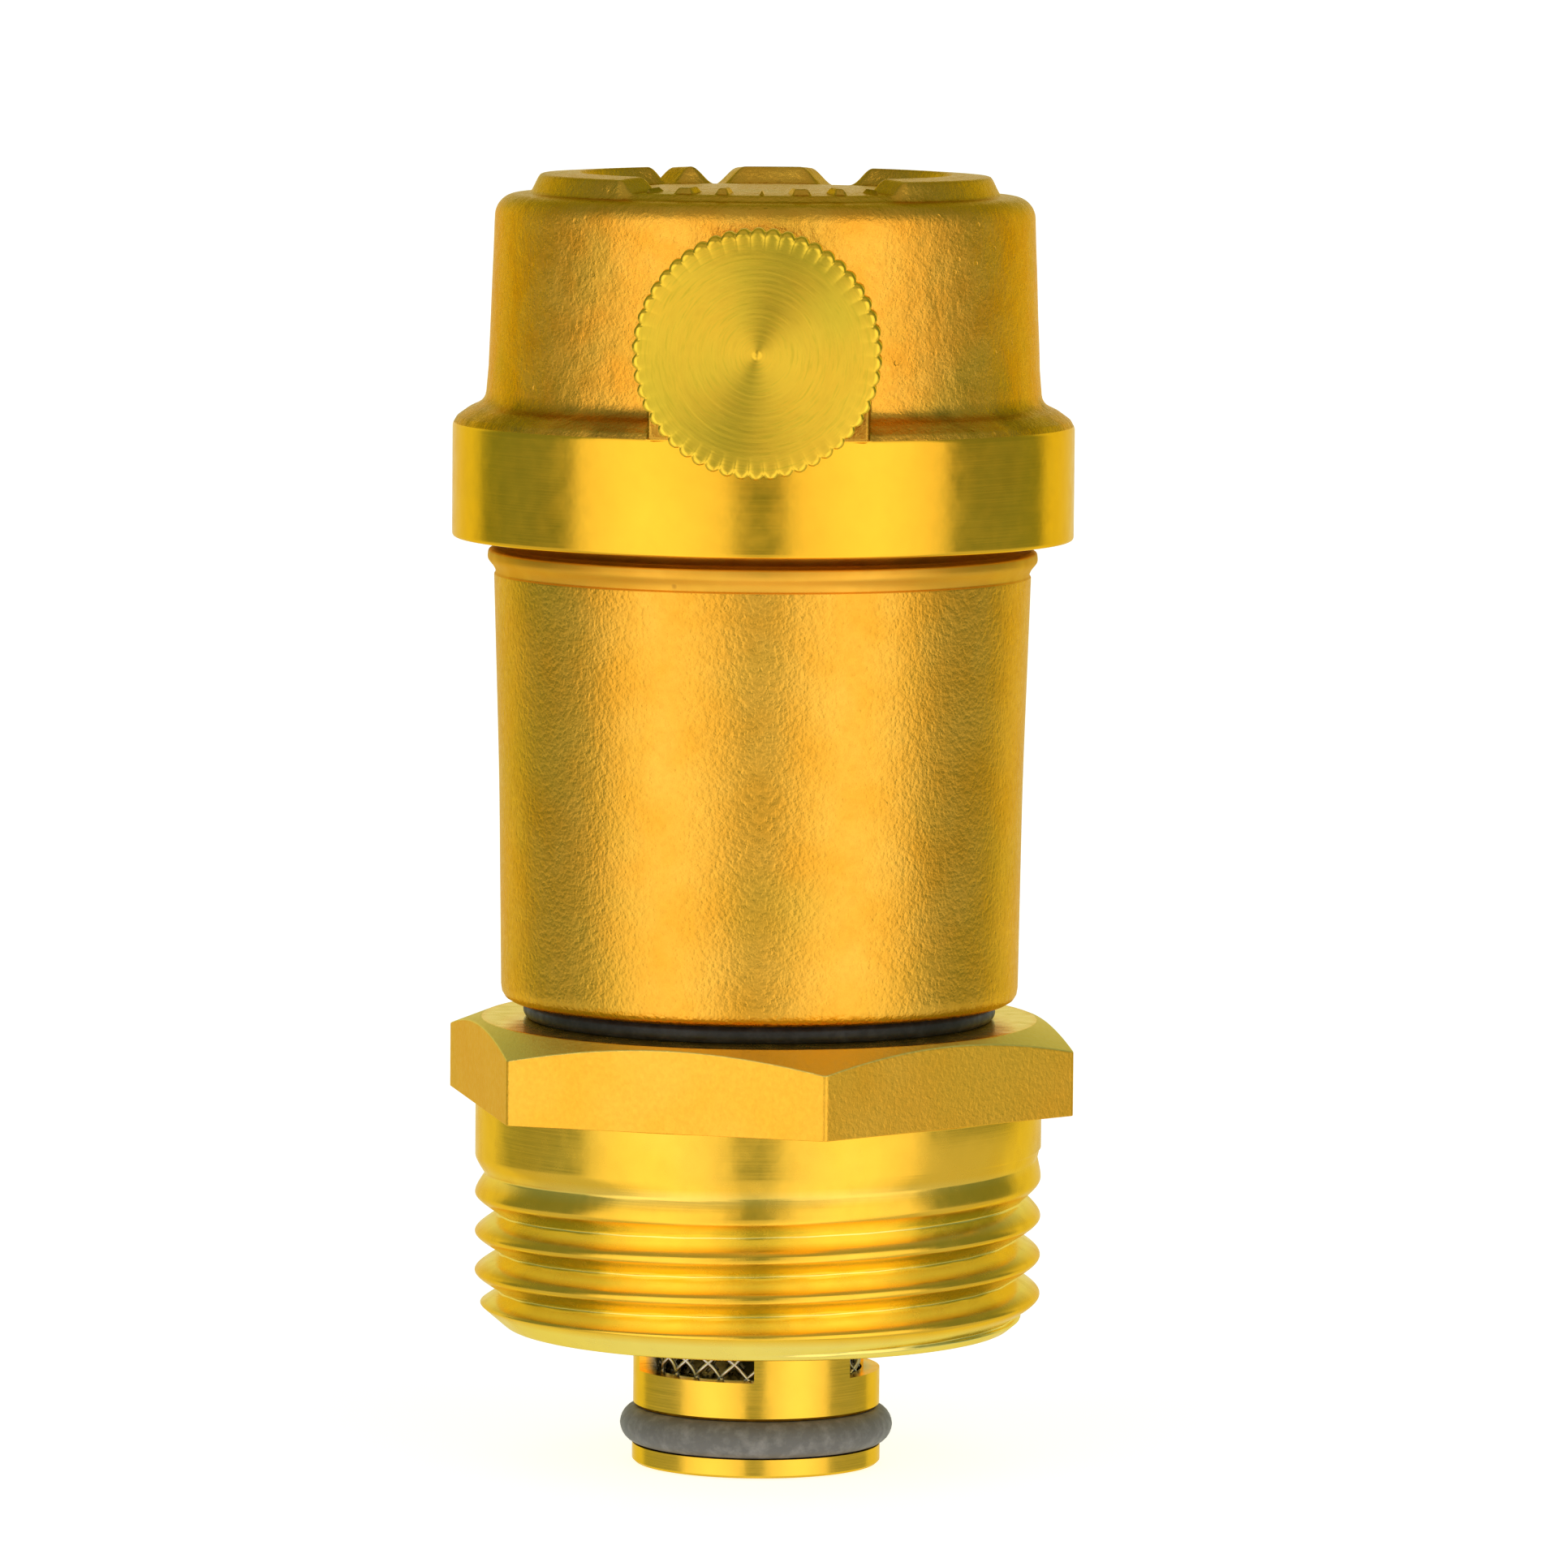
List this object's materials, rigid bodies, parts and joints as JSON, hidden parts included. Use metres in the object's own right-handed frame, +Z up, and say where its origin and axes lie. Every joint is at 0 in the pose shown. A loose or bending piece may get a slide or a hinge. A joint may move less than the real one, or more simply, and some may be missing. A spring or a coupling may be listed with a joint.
{
  "type": "automatic air vent",
  "caption": "Brass float-type automatic air vent with a knurled side outlet knob, screwed into a hexagon pipe adapter with a self-closing spool valve.",
  "frame": {"origin": "on the pipe thread's axis, in the plane of the hexagon's underside, where the port's face seats", "axes": "+Z up along the vent's axis, away from the pipe; -Y out of the side outlet, through the knob; +X to the right when facing the knob"},
  "size_m": [0.0368, 0.0435, 0.0758],
  "materials": {
    "cast_brass": "sand-blasted casting",
    "turned_brass": "bright turned",
    "seal_rubber": "matte",
    "fibre": "matte",
    "stainless": "drawn",
    "float_plastic": "moulded"
  },
  "bodies": {
    "adapter": {"adapter": "turned_brass", "spool_spring": "stainless"},
    "spool": {"shutoff_spool": "turned_brass", "spool_o_ring": "seal_rubber", "strainer_mesh": "stainless"},
    "gasket": {"body_gasket": "seal_rubber"},
    "vent": {"body": "cast_brass", "cover": "cast_brass", "cover_seal": "fibre", "vent_nozzle": "turned_brass", "nozzle_washer": "fibre", "lever_bracket": "stainless", "bracket_clip": "stainless", "lever_pin": "stainless"},
    "float": {"float_shell": "float_plastic", "float_cap": "float_plastic", "float_hook_pin": "stainless"},
    "lever": {"float_lever": "turned_brass", "valve_pad": "seal_rubber"},
    "cap_seal": {"cap_seal": "seal_rubber"},
    "cap": {"vent_cap": "turned_brass"}
  },
  "joints": [
    {"name": "gasket_lift", "type": "slide", "parent": "adapter", "child": "gasket", "axis": [0, 0, 1], "range_m": [0, 0.00575]},
    {"name": "vent_unscrew", "type": "hinge", "parent": "gasket", "child": "vent", "pos_m": [0, 0, 0], "axis": [0, 0, 1], "range_deg": [0, 1140]},
    {"name": "spool_lift", "type": "slide", "parent": "adapter", "child": "spool", "axis": [0, 0, 1], "range_m": [0, 0.00575], "deforming": ["spool_spring"]},
    {"name": "float_rise", "type": "slide", "parent": "vent", "child": "float", "axis": [0, 0, 1], "range_m": [0, 0.00293]},
    {"name": "lever_swing", "type": "hinge", "parent": "vent", "child": "lever", "pos_m": [0, -0.0079, 0.0401], "axis": [1, 0, 0], "range_deg": [0, 21]},
    {"name": "cap_seal_slide", "type": "slide", "parent": "vent", "child": "cap_seal", "axis": [0, -1, 0], "range_m": [0, 0.0015]},
    {"name": "cap_unscrew", "type": "hinge", "parent": "cap_seal", "child": "cap", "pos_m": [0, -0.0196, 0.0451], "axis": [0, -1, 0], "range_deg": [0, 540]}
  ],
  "couplings": [
    {"joint": "gasket_lift", "follows": "vent_unscrew", "m_per_rad": 0.00028871},
    {"joint": "spool_lift", "follows": "vent_unscrew", "m_per_rad": 0.00028871},
    {"joint": "lever_swing", "follows": "float_rise", "rad_per_m": 125.17},
    {"joint": "cap_seal_slide", "follows": "cap_unscrew", "m_per_rad": 0.00015915}
  ]
}
